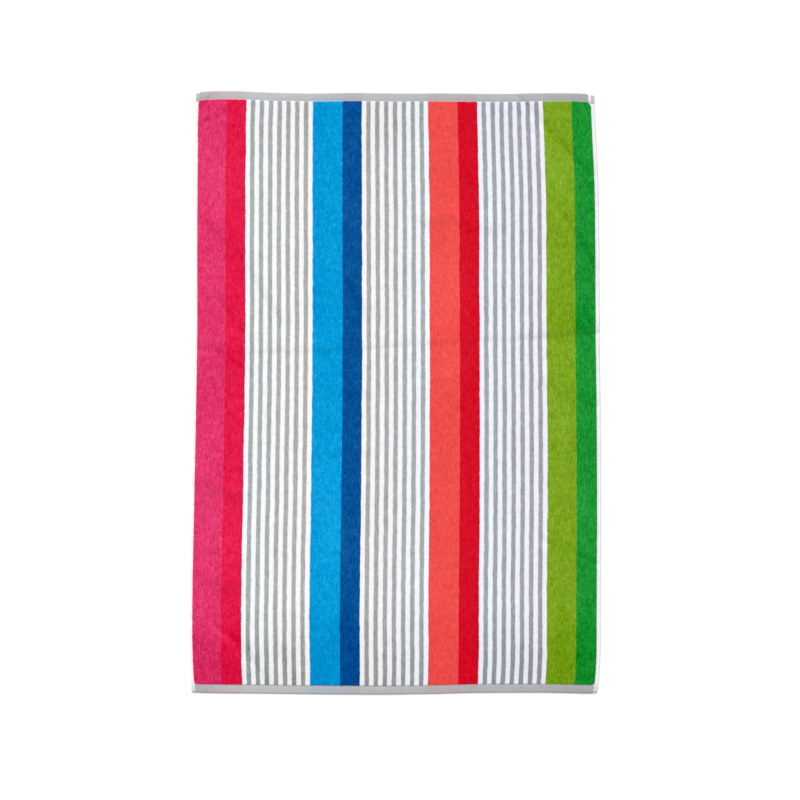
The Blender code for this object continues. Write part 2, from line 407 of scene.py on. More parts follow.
# The section of an end hem: how far in from its outer edge, and its height.
END_HEM_SECTION = (
    (0.0000, 0.0010),
    (0.0003, 0.0003),
    (0.0012, 0.0000),
    (0.0120, 0.0000),
    (0.0232, 0.0000),
    (0.0234, 0.0006),
    (0.0232, 0.0014),
    (0.0205, 0.0021),
    (0.0190, 0.0021),
    (0.0184, 0.0019),
    (0.0178, 0.0017),
    (0.0172, 0.0019),
    (0.0160, 0.0021),
    (0.0110, 0.0020),
    (0.0060, 0.0020),
    (0.0018, 0.0020),
    (0.0006, 0.0017),
)
END_HEM_INSET = 0.0012
END_HEM_STEPS = 480
SIDE_HEM_INSET = 0.0004
SIDE_HEM_STEPS = 596
CORNER_FADE = 0.004
MERGE_DISTANCE = 1e-6

# How much the hems pucker, and the length of the puckers along each.
PUCKER = 0.12
END_PUCKER_LENGTH = 0.013
SIDE_PUCKER_LENGTH = 0.012

# The seams and their stitches.
END_SEAM = 0.0178
SEAM_INSIDE_EDGE = 0.0018
STITCH_START = 0.0060
STITCH_PITCH = 0.0036
STITCH_LENGTH = 0.0031
STITCH_SLANT = 0.05
SEAM_HEIGHT = 0.00170
THREAD_THICKNESS = 0.00045
STITCH_FACETS = (6, 5)
BEADS_AT_ONCE = 40

# The light: how bright a level surface is, and how much of that comes from the soft key light.
LIGHT_LEVEL = 1.08
KEY_SHARE = 0.50
KEY_TILT = math.radians(56.0)
KEY_SOFTNESS = math.radians(24.0)

# How bright the surroundings are near the horizon, and the heights between which that changes.
HORIZON_LEVEL = 1.0
HORIZON_TOP = (0.16, 0.24)

SCREEN_GAMMA = 2.2

# The floor, with how closely, strongly and high its grain shows.
FLOOR_COLOUR = (0.955, 0.955, 0.955, 1.0)
FLOOR_SIZE = 60.0
FLOOR_GAP = 0.0005
FLOOR_GRAIN_SCALE = 300.0
FLOOR_GRAIN_SHOW = 0.01
FLOOR_RELIEF = 0.00005

# The camera: its place, its lens and sensor in millimetres, and how far it sees.
CAMERA_PLACE = (0.0112, -0.0183, 5.511)
CAMERA_LENS = 100.0
CAMERA_SENSOR = 36.0
CAMERA_REACH = 100.0


def slope_at(rows, number, side):
    """How steeply an edge table runs at one of its rows."""
    before = rows[max(number - 1, 0)]
    after = rows[min(number + 1, len(rows) - 1)]
    return (after[side] - before[side]) / (after[0] - before[0])


def edge_places(rows, share):
    """The two places of an edge table at this share, on a smooth line through its rows."""
    number = 1
    while number < len(rows) - 1 and rows[number][0] < share:
        number += 1
    low = rows[number - 1]
    high = rows[number]
    step = high[0] - low[0]
    part = (share - low[0]) / step
    places = []
    for side in (1, 2):
        start_slope = slope_at(rows, number - 1, side) * step
        end_slope = slope_at(rows, number, side) * step
        rise = high[side] - low[side]
        bend = part * (1 - part) * ((1 - part) * (start_slope - rise) + part * (rise - end_slope))
        places.append(low[side] + rise * part + bend)
    return places


MIDDLE_X = (min(row[1] for row in SIDES) + max(row[2] for row in SIDES)) / 2
MIDDLE_Y = (min(row[1] for row in ENDS) + max(row[2] for row in ENDS)) / 2


def laid(across, along):
    """Where a point of the cloth lies, seen from above, from its places in metres across and along it."""
    left, right = edge_places(SIDES, along / TOWEL_LENGTH)
    bottom, top = edge_places(ENDS, across / TOWEL_WIDTH)
    drift = DRIFT * min(max((along - DRIFT_START) / DRIFT_REACH, 0.0), 1.0)
    inside = max(min(across / TOWEL_WIDTH, 1.0), 0.0)
    x = left + (right - left) * across / TOWEL_WIDTH + drift * math.sin(math.pi * inside**DRIFT_POWER)
    y = bottom + (top - bottom) * along / TOWEL_LENGTH
    return x, y


def beside_line(x, y, row):
    """How far a point is left of a fold's line, and the fold's strength there, fading past its ends."""
    from_x, from_y, to_x, to_y = row[:4]
    run_x = to_x - from_x
    run_y = to_y - from_y
    length = math.hypot(run_x, run_y)
    along = ((x - from_x) * run_x + (y - from_y) * run_y) / length
    beside = ((y - from_y) * run_x - (x - from_x) * run_y) / length
    past = max(-along, along - length, 0.0)
    return beside, math.exp(-((past / FADE_PAST_END) ** 2))


def shoulder(beside, reach, left_height, right_height):
    """The height at this distance to the left of a crease's line, or to its right below 0."""
    share = abs(beside) / reach
    height = left_height if beside > 0 else right_height
    return height * share * math.exp(1.0 - share)


def main_crease(x, y):
    """How far a point is above the main crease's line, and the crease's reach and heights there."""
    number = 1
    while number < len(MAIN_CREASE) - 1 and MAIN_CREASE[number][0] < x:
        number += 1
    low = MAIN_CREASE[number - 1]
    high = MAIN_CREASE[number]
    part = (x - low[0]) / (high[0] - low[0])
    line, reach, upper, lower = (a + (b - a) * part for a, b in zip(low[1:], high[1:]))
    return y - line, reach, upper, lower


def lift(x, y):
    """How far the cloth is lifted off what it lies on. It lies quite flat away from its folds."""
    heights = [shoulder(*main_crease(x, y))]
    for row in CREASES:
        beside, strength = beside_line(x, y, row)
        heights.append(strength * shoulder(beside, *row[4:]))
    for row in RIPPLES:
        beside, strength = beside_line(x, y, row)
        heights.append(row[5] * strength * math.exp(-((beside / row[4]) ** 2)))
    blended = sum(height**BLEND_POWER for height in heights) ** (1 / BLEND_POWER)
    return max(blended - LEAST_LIFT, 0.0)


def painted_crease_shade(beside):
    """How much painted shade lies beside a crease's line. It is darkest just to the left of the line."""
    return math.exp(-(((beside - CREASE_SHADE_OFFSET) / CREASE_SHADE_REACH) ** 2))


def nap_and_painted_shade_at(x, y):
    """How many steps of 255 lighter the nap looks at this place, with the painted light and shade there."""
    lighter = 0.0
    for middle_x, middle_y, half_width, half_length, amount in NAP_AND_SHADE_PATCHES:
        away = ((x - middle_x) / half_width) ** 2 + ((y - middle_y) / half_length) ** 2
        lighter += amount * math.exp(-(away**PATCH_POWER))
    for row in PAINTED_CREASE_LINES:
        beside, strength = beside_line(x, y, row)
        lighter += row[5] * strength * math.exp(-((beside / row[4]) ** 2))
    # Painted shade beside the creases' lines.
    crease_shade = MAIN_CREASE_SHADE_SHARE * painted_crease_shade(main_crease(x, y)[0])
    for row in CREASES:
        beside, strength = beside_line(x, y, row)
        crease_shade = max(crease_shade, strength * painted_crease_shade(beside))
    return lighter - CREASE_SHADE_DARKER * crease_shade


def on_cloth(across, along, height):
    """The point at this height over the underside of the laid cloth, centred as the part is."""
    x, y = laid(across, along)
    return Vector((x - MIDDLE_X, y - MIDDLE_Y, lift(x, y) + height))


def uneven(across, along, rows):
    """How far the cloth strays in metres at this place, in waves of several sizes."""
    stray = 0.0
    for width, length, seed, reach in rows:
        stray += reach * noise.noise(Vector((across / width, along / length, seed)))
    return stray


# Building up a finish.
class Signal:
    """A number that varies over a surface. Arithmetic on it adds the shader's maths nodes."""

    def __init__(self, finish, socket):
        self.finish = finish
        self.socket = socket

    def maths(self, operation, first, second=0.0, clamp=False):
        settings = {"operation": operation, "use_clamp": clamp}
        return self.finish.node("ShaderNodeMath", settings, {0: first, 1: second})

    def __add__(self, other):
        return self.maths("ADD", self, other)

    def __radd__(self, other):
        return self.maths("ADD", other, self)

    def __sub__(self, other):
        return self.maths("SUBTRACT", self, other)

    def __rsub__(self, other):
        return self.maths("SUBTRACT", other, self)

    def __mul__(self, other):
        return self.maths("MULTIPLY", self, other)

    def __rmul__(self, other):
        return self.maths("MULTIPLY", other, self)

    def __truediv__(self, other):
        return self.maths("DIVIDE", self, other)

    def size(self):
        """The number without its sign."""
        return self.maths("ABSOLUTE", self)

    def fraction(self):
        return self.maths("FRACT", self)

    def smaller(self, other):
        return self.maths("MINIMUM", self, other)

    def sine(self):
        return self.maths("SINE", self)

    def clamped(self):
        return self.maths("ADD", self, 0.0, clamp=True)

    def past(self, edge, blur):
        """0 before an edge and 1 past it, changing over this blur."""
        return self.maths("ADD", (self - edge) / blur, 0.5, clamp=True)


class Finish:
    """One material, built up on its Principled shader."""

    def __init__(self, name, roughness=0.95, gloss=0.05):
        self.material = bpy.data.materials.new(name)
        self.material.use_nodes = True
        self.tree = self.material.node_tree
        self.shader = self.tree.nodes["Principled BSDF"]
        self.shader.inputs["Roughness"].default_value = roughness
        self.shader.inputs["Specular IOR Level"].default_value = gloss

    def feed(self, socket, value):
        """Links a signal to a socket, or sets a plain value on it."""
        if isinstance(value, Signal):
            self.tree.links.new(value.socket, socket)
        else:
            socket.default_value = value

    def node(self, kind, settings, values, output=0):
        """Adds any node: its settings first, then the values or links of its sockets."""
        made = self.tree.nodes.new(kind)
        for name, value in settings.items():
            setattr(made, name, value)
        for key, value in values.items():
            self.feed(made.inputs[key], value)
        return Signal(self, made.outputs[output])

    def cloth_place(self):
        """The places across and along the cloth, in metres."""
        place = self.node("ShaderNodeUVMap", {"uv_map": "cloth"}, {})
        parts = self.node("ShaderNodeSeparateXYZ", {}, {0: place}).socket.node
        return Signal(self, parts.outputs[0]), Signal(self, parts.outputs[1])

    def grain(self, across, along, width, length, seed, detail=2.0):
        """Random variation about 0, from about -0.4 to 0.4, in flecks of this width and length."""
        place = self.node("ShaderNodeCombineXYZ", {}, {0: across / width, 1: along / length, 2: seed})
        values = {"Vector": place, "Scale": 1.0, "Detail": detail, "Roughness": 0.6}
        return self.node("ShaderNodeTexNoise", {"noise_dimensions": "3D"}, values) - 0.5

    def grains(self, across, along, rows):
        """Flecks of several sizes added up, each by its own amount."""
        total = 0.0
        for width, length, seed, amount in rows:
            total = total + amount * self.grain(across, along, width, length, seed)
        return total

    def mix(self, share, under, over, blend="MIX"):
        """One colour over another, by a share from 0 to 1."""
        settings = {"data_type": "RGBA", "blend_type": blend}
        return self.node("ShaderNodeMix", settings, {0: share, 6: under, 7: over}, output=2)

    def grey(self, level):
        return self.node("ShaderNodeCombineColor", {}, {0: level, 1: level, 2: level})

    def toned(self, colour, tone):
        """A colour made lighter or darker by a tone about 1."""
        return self.mix(1.0, colour, self.grey(tone), blend="MULTIPLY")

    def stepped(self, colour, steps):
        """A colour made lighter by this many steps of 255 as they show on screen, or darker below 0."""
        shown = self.node("ShaderNodeGamma", {}, {"Color": colour, "Gamma": 1 / SCREEN_GAMMA})
        adding = {"data_type": "RGBA", "blend_type": "ADD", "clamp_result": True}
        moved = self.node("ShaderNodeMix", adding, {0: 1.0, 6: shown, 7: self.grey(steps / 255)}, output=2)
        return self.node("ShaderNodeGamma", {}, {"Color": moved, "Gamma": SCREEN_GAMMA})

    def paint(self, colour):
        self.feed(self.shader.inputs["Base Color"], colour)

    def relief(self, height):
        """Makes the surface uneven by a height in metres."""
        values = {"Height": height, "Distance": 1.0, "Strength": 1.0}
        self.feed(self.shader.inputs["Normal"], self.node("ShaderNodeBump", {}, values))

    def woven(self, across_ribs, across_rows, yarn):
        """The fine relief of a flat weave, from the places across its ribs and across its rows."""
        ribs = (across_ribs * (2 * math.pi / RIB_PITCH)).sine()
        rows = (across_rows * (2 * math.pi / ROW_PITCH)).sine()
        self.relief(RIB_RELIEF * ribs + ROW_RELIEF * rows + YARN_RELIEF * yarn)


def cloth_colour(screen):
    """The colour that a level cloth needs under this light to come out as a colour on screen, 0 to 255."""
    linear = []
    # The curve that turns a screen's values into light.
    for value in screen:
        part = value / 255
        bright = part / 12.92 if part <= 0.04045 else ((part + 0.055) / 1.055) ** 2.4
        linear.append(bright / LIGHT_LEVEL)
    return (*linear, 1.0)


def fine_stripes(finish, place, start, width, shades):
    """The colour of one group of fine stripes, and where they are white."""
    grey_left, grey_right, white_left, white_right = (cloth_colour(shade) for shade in shades)
    share = ((place - start) / width).clamped()
    grey = finish.mix(share, grey_left, grey_right)
    white = finish.mix(share, white_left, white_right)
    pitch = (width + GREY_STRIPE) / WHITES_IN_GROUP
    # Counted from a quarter of a pitch in, so that each grey stripe falls inside a count.
    count = ((place - start) / pitch - COUNT_START).fraction()
    grey_middle = (pitch - GREY_STRIPE / 2) / pitch - COUNT_START
    from_middle = (count - grey_middle).size() * pitch
    in_white = from_middle.past(GREY_STRIPE / 2, STRIPE_BLUR)
    return finish.mix(in_white, grey, white), in_white


def velour_face():
    """The cut pile, woven in bands and fine stripes, brushed in short streaks along its length, with painted
    shade near its ends and along creases and painted light beside its edges.
    """
    finish = Finish("striped velour", gloss=0.0)
    across, along = finish.cloth_place()
    place = across + finish.grains(across, along, BAND_WANDER)
    # Painted shade near both ends of the cloth.
    painted_end_shade = 1 - along.past(*DARKER_BOTTOM) + DARKER_TOP_SHARE * along.past(*DARKER_TOP)
    colour = None
    lively = 1.0
    edge = LEFT_HEM
    for name, width, left, right, liveliness in BANDS:
        own_lively = liveliness
        if name in FINE_STRIPES:
            own, in_white = fine_stripes(finish, place, edge, width, FINE_STRIPES[name])
            # The fine stripes carry painted shade near both ends, the white ones less.
            own = finish.toned(own, 1 - FINE_STRIPE_SHADE * painted_end_shade * (1 - WHITE_SPARED * in_white))
            own_lively = liveliness * (1 - WHITE_CALMER * in_white)
        else:
            share = ((place - edge) / width).clamped()
            own = finish.mix(share, cloth_colour(left), cloth_colour(right))
        if colour is None:
            colour = own
            lively = own_lively
        else:
            started = place.past(edge, BAND_BLUR)
            colour = finish.mix(started, colour, own)
            lively = lively + started * (own_lively - lively)
        edge += width
    mottle = finish.grains(across, along, MOTTLE)
    patches = finish.grain(across, along, *BROAD_PATCHES)
    # The nap's brushing together with painted light and shade, stored on the cloth's points.
    nap_and_painted_shade_steps = finish.node("ShaderNodeAttribute", {"attribute_name": "nap_and_painted_shade"}, {}, output=2)
    # Painted shade towards the bottom end, with an uneven edge.
    painted_bottom_shade = 1 - (along + BOTTOM_SHADE_UNEVEN * patches).past(*BOTTOM_SHADE_PLACE)
    steps = lively * (mottle + BROAD_STEPS * patches + nap_and_painted_shade_steps - BOTTOM_SHADE_DARKER * painted_bottom_shade)
    finish.paint(finish.stepped(colour, steps))
    tips = finish.grain(across, along, *TIPS, detail=3.0)
    furrows = finish.grain(across, along, *FURROWS)
    finish.relief(TIP_RELIEF * tips + FURROW_RELIEF * furrows)
    return finish.material


def looped_back():
    """The uncut loops of the underside, in the bands' own colours, a little duller."""
    finish = Finish("looped terry back")
    across, along = finish.cloth_place()
    colour = None
    edge = LEFT_HEM
    for name, width, left, *_ in BANDS:
        if name in FINE_STRIPES:
            own, _ = fine_stripes(finish, across, edge, width, FINE_STRIPES[name])
        else:
            own = cloth_colour(left)
        colour = own if colour is None else finish.mix(across.past(edge, BACK_BLUR), colour, own)
        edge += width
    loops = finish.grain(across, along, *LOOPS, detail=1.0)
    finish.paint(finish.toned(colour, BACK_TONE + LOOPS_SHOW * loops))
    finish.relief(LOOP_RELIEF * loops)
    return finish.material


def end_hem_weave():
    """Flat weave, fine ribs across the hem. It takes a touch of each band's colour from the warp. Painted
    shade darkens its rims, all of the bottom hem and its left part.
    """
    finish = Finish("grey flat weave", roughness=0.85)
    across, along = finish.cloth_place()
    share = (across / TOWEL_WIDTH).clamped()
    colour = finish.mix(share, cloth_colour(END_HEM_LEFT), cloth_colour(END_HEM_RIGHT))
    edge = LEFT_HEM
    for _, width, left, *_ in BANDS:
        in_band = across.past(edge, HEM_BAND_BLUR) - across.past(edge + width, HEM_BAND_BLUR)
        tint = left if left else FINE_GROUP_TINT
        colour = finish.mix(END_HEM_TINT * in_band, colour, cloth_colour(tint))
        edge += width
    from_edge = along.smaller(TOWEL_LENGTH - along)
    # Painted shade at the hems' outer rims, over all of the bottom hem and at their left part.
    rim = 1 - from_edge.past(END_RIM, END_RIM_BLUR)
    flecks = finish.grain(across, along, *END_FLECKS)
    patches = finish.grain(across, along, *END_PATCHES)
    at_bottom = 1 - along.past(TOWEL_LENGTH / 2, HALVES_BLUR)
    at_left = 1 - across.past(*LEFT_PART)
    painted_shade = rim * (END_RIM_SHADE - BOTTOM_RIM_SPARED * at_bottom)
    painted_shade = painted_shade + BOTTOM_HEM_SHADE * at_bottom + LEFT_PART_SHADE * at_left
    tone = 1.0 + END_FLECKS_SHOW * flecks + END_PATCHES_SHOW * patches - painted_shade
    finish.paint(finish.toned(colour, tone))
    finish.woven(across, along, flecks)
    return finish.material


def side_hem_weave():
    """White flat weave, grey where the end hems are folded in at the corners, with a line of painted shade
    along the right one's outer fold.
    """
    finish = Finish("white flat weave", roughness=0.85)
    across, along = finish.cloth_place()
    from_end = along.smaller(TOWEL_LENGTH - along)
    at_corner = 1 - from_end.past(END_HEM - CORNER_INSET, CORNER_BLUR)
    at_right = across.past(TOWEL_WIDTH / 2, HALVES_BLUR)
    white = finish.mix(at_right, cloth_colour(SIDE_HEM_LEFT), cloth_colour(SIDE_HEM_RIGHT))
    at_top = along.past(TOWEL_LENGTH / 2, HALVES_BLUR)
    outer_fold = across.past(TOWEL_WIDTH - CORNER_FOLD, HEM_BLUR)
    top_right = finish.mix(outer_fold, white, cloth_colour(CORNER_TOP_RIGHT))
    top = finish.mix(at_right, cloth_colour(CORNER_TOP_LEFT), top_right)
    bottom = finish.mix(at_top, cloth_colour(CORNER_BOTTOM), top)
    colour = finish.mix(at_corner, white, bottom)
    grey = 1 - across.past(TOWEL_WIDTH - CORNER_GREY, HEM_BLUR)
    bottom_right = (1 - at_top) * at_right * at_corner * grey
    colour = finish.mix(bottom_right, colour, cloth_colour(END_HEM_RIGHT))
    # A line of painted shade along the right side hem's outer fold.
    rim = at_right * across.past(TOWEL_WIDTH - SIDE_RIM_SHADE_WIDTH, HEM_BLUR)
    colour = finish.mix(SIDE_RIM_SHADE_SHARE * rim, colour, cloth_colour(SIDE_HEM_EDGE_SHADE))
    flecks = finish.grain(across, along, *SIDE_FLECKS)
    patches = finish.grain(across, along, *SIDE_PATCHES)
    finish.paint(finish.toned(colour, 1.0 + SIDE_FLECKS_SHOW * flecks + SIDE_PATCHES_SHOW * patches))
    finish.woven(along, across, flecks)
    return finish.material


def twisted_thread():
    """Sewing thread of two twisted plies."""
    finish = Finish("pale twisted thread", roughness=0.6)
    place = finish.node("ShaderNodeTexCoord", {}, {}, output=3)
    values = {"Vector": place, "Scale": FUZZ_SCALE, "Detail": 1.0}
    fuzz = finish.node("ShaderNodeTexNoise", {}, values) - 0.5
    finish.paint(finish.toned(cloth_colour(THREAD), 1.0 + FUZZ_SHOW * fuzz))
    finish.relief(FUZZ_RELIEF * fuzz)
    return finish.material


def pale_floor():
    """Plain and near white, with a very fine grain."""
    finish = Finish("pale floor", roughness=0.9)
    place = finish.node("ShaderNodeTexCoord", {}, {}, output=3)
    values = {"Vector": place, "Scale": FLOOR_GRAIN_SCALE, "Detail": 3.0}
    grain = finish.node("ShaderNodeTexNoise", {}, values) - 0.5
    finish.paint(finish.toned(FLOOR_COLOUR, 1.0 + FLOOR_GRAIN_SHOW * grain))
    finish.relief(FLOOR_RELIEF * grain)
    return finish.material


# Making the pieces.
def make_piece(name, shape, places, materials):
    """Turns a finished shape into a piece on the part, and maps its places on the cloth if given."""
    for face in shape.faces:
        face.smooth = True
    if places:
        cloth_map = shape.loops.layers.uv.new("cloth")
        for face in shape.faces:
            for corner in face.loops:
                corner[cloth_map].uv = places[corner.vert]
    mesh = bpy.data.meshes.new(name)
    shape.to_mesh(mesh)
    shape.free()
    for material in materials:
        mesh.materials.append(material)
    piece = bpy.data.objects.new(name, mesh)
    bpy.context.scene.collection.objects.link(piece)
    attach(piece, "root")
    return piece


def evenly(start, stop, cell):
    """Places from start up to stop, without stop itself, no further apart than a cell."""
    cells = math.ceil((stop - start) / cell)
    return [start + (stop - start) * number / cells for number in range(cells)]


def pile_lines(start, stop, crease=None):
    """Lines of the pile's mesh from edge to edge, closer together at its rims and at the main crease."""
    inner_start = start + RIM_PLACES[-1]
    inner_stop = stop - RIM_PLACES[-1]
    lines = [start + rim for rim in RIM_PLACES[:-1]]
    if crease:
        lines += evenly(inner_start, crease[0], CLOTH_CELL)
        lines += evenly(*crease, CREASE_CELL)
        inner_start = crease[1]
    lines += evenly(inner_start, inner_stop, CLOTH_CELL)
    lines += [stop - rim for rim in reversed(RIM_PLACES)]
    return lines


def turned_corner(across, along):
    """A place near a corner of the pile, drawn in so that the corner is round."""
    middle_across = (LEFT_HEM + TOWEL_WIDTH - RIGHT_HEM) / 2
    half_width = (TOWEL_WIDTH - RIGHT_HEM - LEFT_HEM) / 2
    half_length = TOWEL_LENGTH / 2 - END_HEM
    offset_across = across - middle_across
    offset_along = along - TOWEL_LENGTH / 2
    corner = (offset_across > 0, offset_along > 0)
    radius = next(row[2] for row in PILE_CORNERS if row[:2] == corner)
    over_across = abs(offset_across) - (half_width - radius)
    over_along = abs(offset_along) - (half_length - radius)
    if over_across <= 0 or over_along <= 0:
        return across, along
    shrink = max(over_across, over_along) / math.hypot(over_across, over_along)
    new_across = half_width - radius + over_across * shrink
    new_along = half_length - radius + over_along * shrink
    return (
        middle_across + math.copysign(new_across, offset_across),
        TOWEL_LENGTH / 2 + math.copysign(new_along, offset_along),
    )


def rim_share(inward):
    """How much of its full height the pile has at this distance in from its edge."""
    if inward >= RIM_RADIUS:
        return 1.0
    return RIM_FOOT + (1 - RIM_FOOT) * math.sqrt(1 - (1 - inward / RIM_RADIUS) ** 2)


def striped_cloth(face, back):
    """The pile cloth between the hems: its face, its underside and the rounded rim between them."""
    lines_across = pile_lines(LEFT_HEM, TOWEL_WIDTH - RIGHT_HEM)
    lines_along = pile_lines(END_HEM, TOWEL_LENGTH - END_HEM, crease=(CREASE_START, CREASE_STOP))
    cells_across = len(lines_across) - 1
    cells_along = len(lines_along) - 1
    cloth = bmesh.new()
    # The nap's brushing together with painted light and shade, for each point of the pile.
    nap_and_painted_shade = cloth.verts.layers.float.new("nap_and_painted_shade")
    bmesh.ops.create_grid(cloth, x_segments=cells_across, y_segments=cells_along, size=0.5)
    uppers = cloth.verts[:]
    copy = bmesh.ops.duplicate(cloth, geom=cloth.verts[:] + cloth.edges[:] + cloth.faces[:])
    for item in copy["geom"]:
        if isinstance(item, bmesh.types.BMFace):
            item.material_index = 1
    places = {}
    for upper in uppers:
        across = lines_across[round((upper.co.x + 0.5) * cells_across)]
        along = lines_along[round((upper.co.y + 0.5) * cells_along)]
        from_side = min(across - LEFT_HEM, TOWEL_WIDTH - RIGHT_HEM - across)
        from_end = min(along - END_HEM, TOWEL_LENGTH - END_HEM - along)
        thickness = PILE_THICKNESS * rim_share(min(from_side, from_end))
        across, along = turned_corner(across, along)
        places[upper] = (across, along)
        places[copy["vert_map"][upper]] = (across, along)
        wander = uneven(across, along, PILE_EDGE)
        side_wander = wander * max(1 - from_side / RAGGED_REACH, 0.0)
        end_wander = wander * max(1 - from_end / RAGGED_REACH, 0.0)
        across += math.copysign(side_wander, across - TOWEL_WIDTH / 2)
        along += math.copysign(end_wander, along - TOWEL_LENGTH / 2)
        upper.co = on_cloth(across, along, thickness + uneven(across, along, PILE_TOP))
        # Painted light beside the pile's sides and its bottom end, but not at its top end.
        from_edge = min(from_side, along - END_HEM)
        upper[nap_and_painted_shade] = nap_and_painted_shade_at(upper.co.x, upper.co.y) + PAINTED_EDGE_LIGHT * max(1 - from_edge / EDGE_REACH, 0.0)
        copy["vert_map"][upper].co = on_cloth(across, along, 0.0)
    bmesh.ops.bridge_loops(cloth, edges=[edge for edge in cloth.edges if edge.is_boundary])
    bmesh.ops.recalc_face_normals(cloth, faces=cloth.faces)
    return make_piece("striped_cloth", cloth, places, [face, back])


def beaded_shape(beads, segments):
    """Many small rounded beads in one shape, made a few at a time, which keeps each operator quick."""
    whole = bmesh.new()
    for first in range(0, len(beads), BEADS_AT_ONCE):
        few = bmesh.new()
        cloth_map = few.loops.layers.uv.new("cloth")
        for place, height, size, yaw in beads[first : first + BEADS_AT_ONCE]:
            lie = Matrix.Translation(on_cloth(*place, height)) @ Matrix.Rotation(yaw, 4, "Z")
            bead = bmesh.ops.create_uvsphere(
                few,
                u_segments=segments[0],
                v_segments=segments[1],
                radius=0.5,
                matrix=lie @ Matrix.Diagonal((*size, 1.0)),
            )
            for vert in bead["verts"]:
                for corner in vert.link_loops:
                    corner[cloth_map].uv = place
        batch = bpy.data.meshes.new("batch")
        few.to_mesh(batch)
        few.free()
        whole.from_mesh(batch)
        bpy.data.meshes.remove(batch)
    return whole


def pile_edge_tufts(face):
    """The outermost tufts of the pile, in two uneven rows round its edge."""
    draw = random.Random(TUFT_DRAW)
    beads = []
    for inward, height in TUFT_ROWS:
        low_across = LEFT_HEM + inward
        high_across = TOWEL_WIDTH - RIGHT_HEM - inward
        low_along = END_HEM + inward
        high_along = TOWEL_LENGTH - END_HEM - inward
        spots = []
        for number in range(int((high_along - low_along) / TUFT_PITCH)):
            along = low_along + TUFT_PITCH * (number + 0.5)
            spots.append((low_across, along, math.pi))
            spots.append((high_across, along, 0.0))
        for number in range(int((high_across - low_across) / TUFT_PITCH)):
            across = low_across + TUFT_PITCH * (number + 0.5)
            spots.append((across, low_along, -math.pi / 2))
            spots.append((across, high_along, math.pi / 2))
        for across, along, yaw in spots:
            across += draw.uniform(-TUFT_STRAY, TUFT_STRAY)
            along += draw.uniform(-TUFT_STRAY, TUFT_STRAY)
            size = [side * draw.uniform(*TUFT_SIZES) for side in TUFT_SIZE]
            stand = height + draw.uniform(-TUFT_STAND, TUFT_STAND)
            turn = yaw + draw.uniform(-TUFT_TURN, TUFT_TURN)
            beads.append((turned_corner(across, along), stand, size, turn))
    shape = beaded_shape(beads, TUFT_FACETS)
    return make_piece("pile_edge_tufts", shape, None, [face])


def wrapped_strip(steps, section, place_at):
    """A closed strip: a grid wrapped round a closed section, with both of its ends capped."""
    strip = bmesh.new()
    bmesh.ops.create_grid(strip, x_segments=steps, y_segments=len(section), size=0.5)
    places = {}
    for vert in strip.verts:
        share = round((vert.co.x + 0.5) * steps) / steps
        corner = round((vert.co.y + 0.5) * len(section)) % len(section)
        across, along, height = place_at(share, *section[corner])
        places[vert] = (across, along)
        vert.co = on_cloth(across, along, height)
    bmesh.ops.remove_doubles(strip, verts=strip.verts, dist=MERGE_DISTANCE)
    open_edges = [edge for edge in strip.edges if edge.is_boundary]
    bmesh.ops.holes_fill(strip, edges=open_edges, sides=len(section))
    bmesh.ops.recalc_face_normals(strip, faces=strip.faces)
    return strip, places


def end_hem(name, at_top, weave):
    """The flat hem across one end: turned over at its outer edge and tucked under the pile."""

    def place_at(share, inward, height):
        across = END_HEM_INSET + share * (TOWEL_WIDTH - 2 * END_HEM_INSET)
        puckers = noise.noise(Vector((across / END_PUCKER_LENGTH, 2.0 * at_top, 1.0)))
        height *= 1 + PUCKER * puckers
        return across, TOWEL_LENGTH - inward if at_top else inward, height

    strip, places = wrapped_strip(END_HEM_STEPS, END_HEM_SECTION, place_at)
    return make_piece(name, strip, places, [weave])


def side_hem_section(shown, whole):
    """The section of a side hem: how far in from its outer edge, and its height."""
    full = HEM_THICKNESS
    return (
        (0.0000, 0.50 * full),
        (0.0003, 0.15 * full),
        (0.0012, 0.00 * full),
        (whole - 0.0004, 0.00 * full),
        (whole, 0.40 * full),
        (whole - 0.0004, 0.85 * full),
        (shown, 0.94 * full),
        (shown - 0.0011, 0.94 * full),
        (shown - SEAM_INSIDE_EDGE, 0.80 * full),
        (shown - 0.0025, 0.94 * full),
        (0.0015, 1.00 * full),
        (0.0004, 0.85 * full),
    )


def corner_bulk(along):
    """How much thicker a side hem is here: CORNER_BULK where it lies over an end hem, 1 along the pile."""
    from_end = min(along, TOWEL_LENGTH - along)
    share = min(max((END_HEM - from_end) / CORNER_FADE, 0.0), 1.0)
    return 1 + (CORNER_BULK - 1) * share


def side_hem(name, at_right, shown, whole, weave):
    """The narrow hem along one side, which lies over the end hems at the corners."""

    def place_at(share, inward, height):
        along = SIDE_HEM_INSET + share * (TOWEL_LENGTH - 2 * SIDE_HEM_INSET)
        puckers = noise.noise(Vector((along / SIDE_PUCKER_LENGTH, 3.0 * at_right, 7.0)))
        height *= (1 + PUCKER * puckers) * corner_bulk(along)
        return TOWEL_WIDTH - inward if at_right else inward, along, height

    strip, places = wrapped_strip(SIDE_HEM_STEPS, side_hem_section(shown, whole), place_at)
    return make_piece(name, strip, places, [weave])


